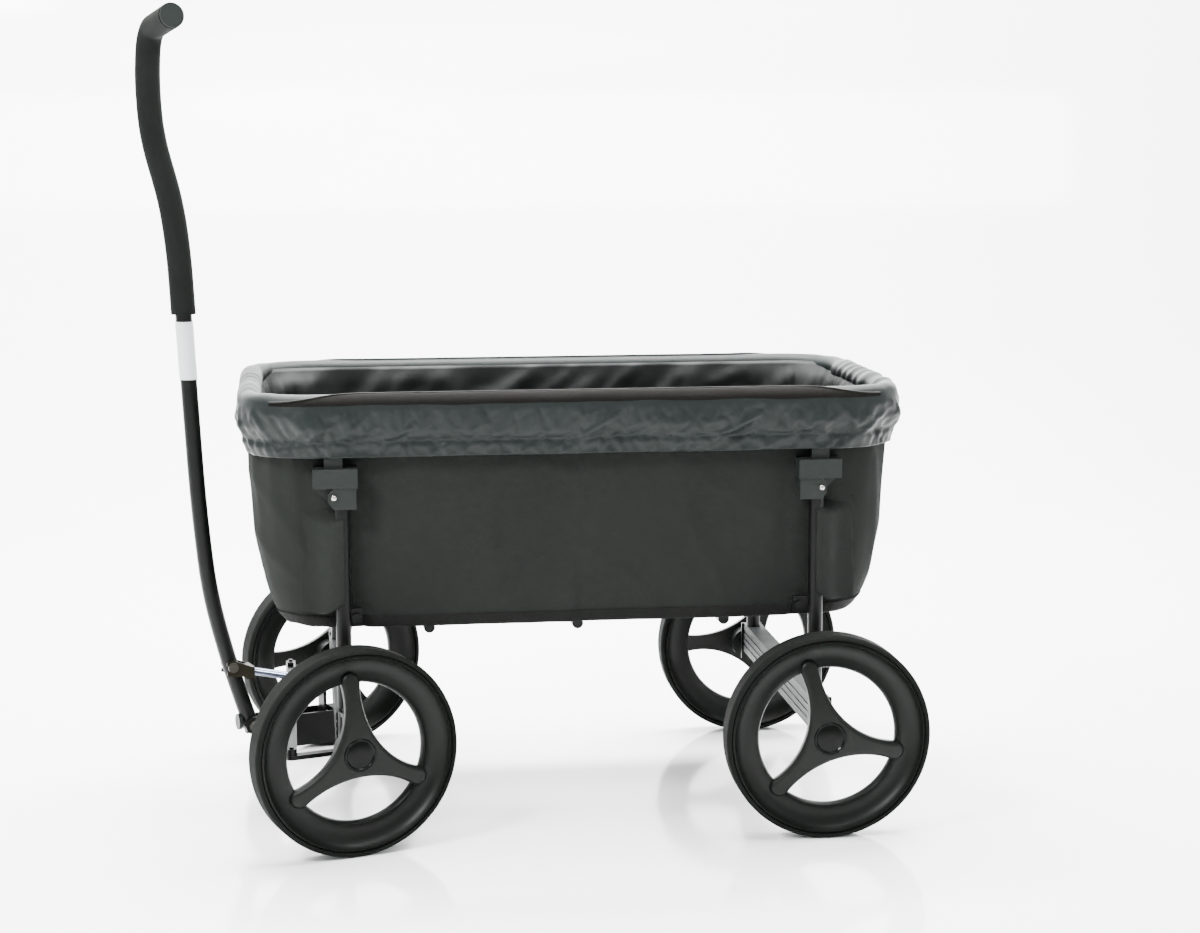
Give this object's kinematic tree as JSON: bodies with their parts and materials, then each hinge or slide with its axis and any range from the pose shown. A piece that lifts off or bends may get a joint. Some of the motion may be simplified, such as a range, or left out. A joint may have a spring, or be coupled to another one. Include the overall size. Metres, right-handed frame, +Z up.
{
  "type": "beach cart",
  "caption": "Folding beach cart: fabric tub on wheeled end frames with steered front wheels, spoked foam-tyred wheels and a tall foam-gripped drawbar.",
  "frame": {"origin": "on the ground, midway between the front and rear wheel stations, on the centre plane", "axes": "+X to the rear, -X to the drawbar end, +Y across, +Z up"},
  "size_m": [1.0293, 0.6796, 1.0954],
  "materials": {
    "tyre_foam": "matte foam tyre",
    "wheel_plastic": "fine satin moulded plastic",
    "cap_plastic": "glossy",
    "bearing_steel": "ground",
    "frame_paint": "satin powder coat",
    "beam_metal": "dark anodised extrusion",
    "black_plastic": "moulded nylon",
    "rod_chrome": "bright plated",
    "fork_steel": "olive-dark plated steel",
    "bolt_steel": "dull plated",
    "grip_foam": "soft foam",
    "label_white": "plain white sleeve",
    "tub_fabric": "heavy woven polyester",
    "skirt_fabric": "thin shiny nylon",
    "floor_board": "fabric-covered board"
  },
  "bodies": {
    "rear_frame": {"rear_beam": "beam_metal", "rear_leg_near": "frame_paint", "rear_leg_far": "frame_paint", "rear_axles": "frame_paint", "rear_leg_blocks": "black_plastic", "rear_floor_pivots": "frame_paint", "rear_leg_sleeves": "tub_fabric"},
    "front_frame": {"front_beam": "beam_metal", "front_leg_near": "frame_paint", "front_leg_far": "frame_paint", "kingpin_housings": "frame_paint", "front_leg_blocks": "black_plastic", "front_floor_pivots": "frame_paint", "front_leg_sleeves": "tub_fabric", "steering_pin": "bolt_steel"},
    "rim_rear": {"rim_tube_rear": "frame_paint", "saddles_rear": "black_plastic", "rim_clevises": "bolt_steel", "tub_rear": "tub_fabric", "skirt_rear": "skirt_fabric", "rear_tab": "tub_fabric"},
    "rim_front": {"rim_tube_front": "frame_paint", "saddles_front": "black_plastic", "rim_tangs": "bolt_steel", "tub_front": "tub_fabric", "skirt_front": "skirt_fabric"},
    "floor_rear": {"floor_panel_rear": "floor_board", "cross_tube_rear": "frame_paint"},
    "floor_front": {"floor_panel_front": "floor_board", "cross_tube_front": "frame_paint"},
    "floor_centre": {"cross_tube_centre": "frame_paint"},
    "knuckle_near": {"knuckle_near": "frame_paint"},
    "knuckle_far": {"knuckle_far": "frame_paint"},
    "tie_rod": {"tie_rod": "frame_paint"},
    "tongue": {"tongue": "frame_paint", "drawbar_hinge_pin": "bolt_steel", "brace_rods": "rod_chrome", "brace_fork": "fork_steel"},
    "drawbar": {"drawbar_tube": "frame_paint", "drawbar_grip": "grip_foam", "drawbar_label": "label_white", "grip_end_cap": "black_plastic", "drawbar_bumper": "black_plastic", "lock_bolt": "bolt_steel"},
    "wheel_front_near": {"tyre_front_near": "tyre_foam", "wheel_front_near": "wheel_plastic", "hub_cap_front_near": "cap_plastic", "bearings_front_near": "bearing_steel"},
    "wheel_front_far": {"tyre_front_far": "tyre_foam", "wheel_front_far": "wheel_plastic", "hub_cap_front_far": "cap_plastic", "bearings_front_far": "bearing_steel"},
    "wheel_rear_near": {"tyre_rear_near": "tyre_foam", "wheel_rear_near": "wheel_plastic", "hub_cap_rear_near": "cap_plastic", "bearings_rear_near": "bearing_steel"},
    "wheel_rear_far": {"tyre_rear_far": "tyre_foam", "wheel_rear_far": "wheel_plastic", "hub_cap_rear_far": "cap_plastic", "bearings_rear_far": "bearing_steel"}
  },
  "joints": [
    {"name": "fold", "type": "hinge", "parent": "rear_frame", "child": "rim_rear", "pos_m": [0.315, 0, 0.462], "axis": [0, 1, 0], "range_deg": [0, 40], "deforming": ["tub_rear", "skirt_rear"]},
    {"name": "rim_hinge", "type": "hinge", "parent": "rim_rear", "child": "rim_front", "pos_m": [-0.008, 0, 0.581], "axis": [0, 1, 0], "range_deg": [-80, 0], "deforming": ["tub_front", "skirt_front"]},
    {"name": "front_frame_pivot", "type": "hinge", "parent": "rim_front", "child": "front_frame", "pos_m": [-0.331, 0, 0.462], "axis": [0, 1, 0], "range_deg": [0, 40]},
    {"name": "floor_rear_pivot", "type": "hinge", "parent": "rear_frame", "child": "floor_rear", "pos_m": [0.288, 0, 0.3], "axis": [0, 1, 0], "range_deg": [0, 76]},
    {"name": "floor_front_pivot", "type": "hinge", "parent": "front_frame", "child": "floor_front", "pos_m": [-0.304, 0, 0.3], "axis": [0, 1, 0], "range_deg": [-76, 0]},
    {"name": "floor_centre_swing", "type": "hinge", "parent": "rim_rear", "child": "floor_centre", "pos_m": [-0.008, 0, 0.581], "axis": [0, 1, 0], "range_deg": [-40, 0]},
    {"name": "steer", "type": "hinge", "parent": "front_frame", "child": "tongue", "pos_m": [-0.321, 0, 0.13], "axis": [0, 0, 1], "range_deg": [-53, 17]},
    {"name": "knuckle_near_steer", "type": "hinge", "parent": "front_frame", "child": "knuckle_near", "pos_m": [-0.321, -0.2515, 0.156], "axis": [0, 0, 1], "range_deg": [-53, 17]},
    {"name": "knuckle_far_steer", "type": "hinge", "parent": "front_frame", "child": "knuckle_far", "pos_m": [-0.321, 0.2515, 0.156], "axis": [0, 0, 1], "range_deg": [-53, 17]},
    {"name": "tie_rod_pivot", "type": "hinge", "parent": "tongue", "child": "tie_rod", "pos_m": [-0.39233, -0.02318, 0.138], "axis": [0, 0, 1], "range_deg": [-17, 53]},
    {"name": "drawbar_tilt", "type": "hinge", "parent": "tongue", "child": "drawbar", "pos_m": [-0.44844, -0.04141, 0.118], "axis": [0.309, -0.9511, 0], "range_deg": [0, 80]},
    {"name": "front_near_spin", "type": "hinge", "parent": "knuckle_near", "child": "wheel_front_near", "pos_m": [-0.31173, -0.28003, 0.1375], "axis": [-0.309, 0.9511, 0], "continuous": true},
    {"name": "front_far_spin", "type": "hinge", "parent": "knuckle_far", "child": "wheel_front_far", "pos_m": [-0.33027, 0.28003, 0.1375], "axis": [-0.309, 0.9511, 0], "continuous": true},
    {"name": "rear_near_spin", "type": "hinge", "parent": "rear_frame", "child": "wheel_rear_near", "pos_m": [0.3135, -0.2815, 0.1375], "axis": [0, 1, 0], "continuous": true},
    {"name": "rear_far_spin", "type": "hinge", "parent": "rear_frame", "child": "wheel_rear_far", "pos_m": [0.3135, 0.2815, 0.1375], "axis": [0, 1, 0], "continuous": true}
  ],
  "couplings": [
    {"joint": "rim_hinge", "follows": "fold", "ratio": -2},
    {"joint": "front_frame_pivot", "follows": "fold", "ratio": 1},
    {"joint": "floor_rear_pivot", "follows": "fold", "ratio": 1.9},
    {"joint": "floor_front_pivot", "follows": "fold", "ratio": -1.9},
    {"joint": "floor_centre_swing", "follows": "fold", "ratio": -1},
    {"joint": "knuckle_near_steer", "follows": "steer", "ratio": 1},
    {"joint": "knuckle_far_steer", "follows": "steer", "ratio": 1},
    {"joint": "tie_rod_pivot", "follows": "steer", "ratio": -1}
  ]
}
